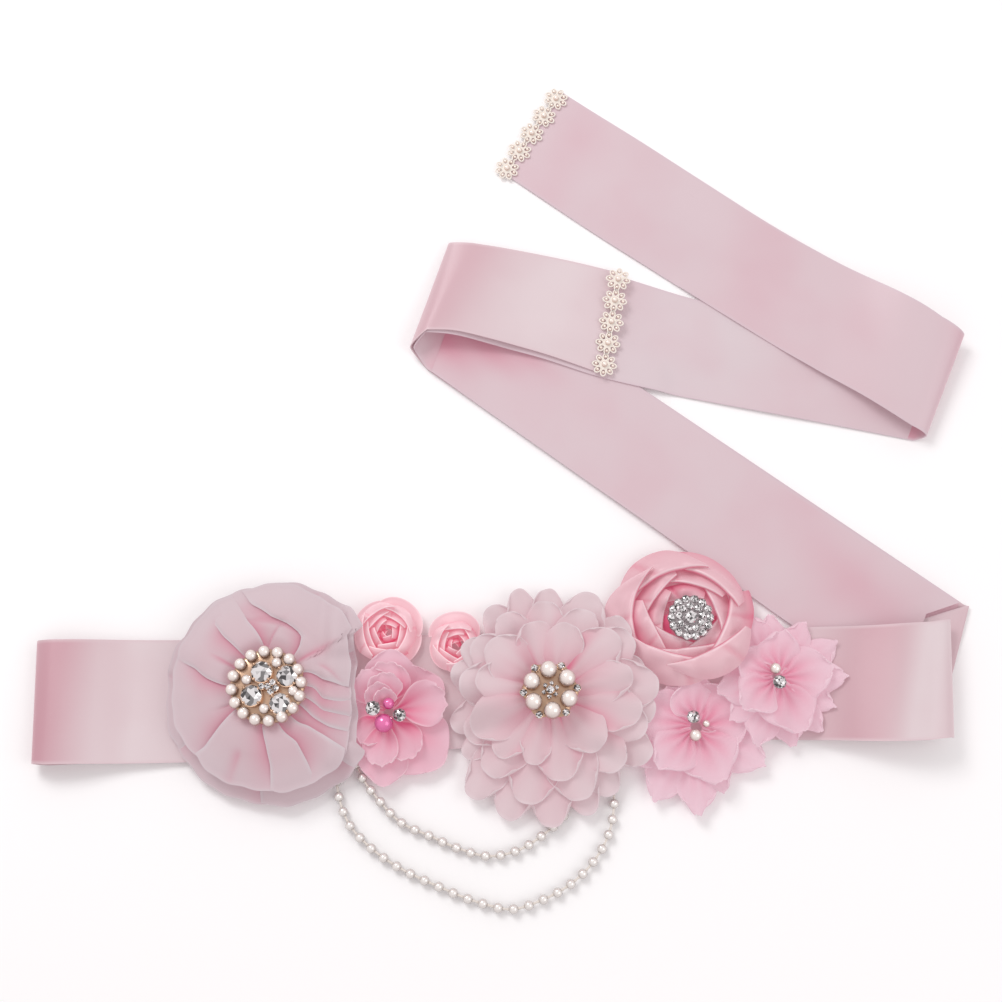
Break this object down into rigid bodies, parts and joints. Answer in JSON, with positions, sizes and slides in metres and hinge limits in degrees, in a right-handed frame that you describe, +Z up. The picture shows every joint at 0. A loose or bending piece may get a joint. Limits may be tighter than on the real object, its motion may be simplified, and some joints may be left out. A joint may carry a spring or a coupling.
{
  "type": "bridal sash",
  "caption": "Satin ribbon sash laid out and folded back over itself, with sewn cloth flowers, jewelled centres, pearl swags and daisy trims on its tails.",
  "frame": {"origin": "centre of the laid-out sash's plan outline, on the surface it lies on", "axes": "+X along the front band towards the fold both tails leave from, +Y towards the tails, +Z up off the surface"},
  "size_m": [0.4918, 0.4568, 0.0268],
  "materials": {
    "satin": "satin ribbon, soft sheen",
    "chiffon": "matt translucent chiffon",
    "tulle": "fine net",
    "pearl": "pearl lustre",
    "hot_pink_pearl": "pearl lustre",
    "crystal": "faceted and foil backed",
    "gold": "polished setting",
    "silver": "polished setting",
    "lace": "matt embroidered braid"
  },
  "bodies": {
    "root": {"band_back": "satin", "band_front": "satin", "left_brooch": "gold", "left_flower_inner": "chiffon", "left_flower_outer": "chiffon", "left_tail_diagonal": "satin", "left_tail_end": "satin", "middle_brooch": "gold", "middle_flower_low": "chiffon", "middle_flower_mid": "chiffon", "middle_flower_top": "chiffon", "pearl_swag_inner": "pearl", "pearl_swag_outer": "pearl", "pink_flower_inner": "chiffon", "pink_flower_outer": "chiffon", "pink_pearl_large": "hot_pink_pearl", "pink_pearl_small": "hot_pink_pearl", "pink_stone_left": "crystal", "pink_stone_right": "crystal", "right_tail_diagonal": "satin", "right_tail_middle": "satin", "right_tail_top": "satin", "rose_button": "silver", "rosette_left": "satin", "rosette_right": "satin", "satin_rose": "satin", "trim_middle": "lace", "trim_top": "lace", "tulle_low_inner": "tulle", "tulle_low_outer": "tulle", "tulle_pearl_large": "pearl", "tulle_pearl_right": "pearl", "tulle_pearl_small": "pearl", "tulle_right_inner": "tulle", "tulle_right_outer": "tulle", "tulle_stone_low": "crystal", "tulle_stone_right": "crystal"}
  },
  "joints": []
}
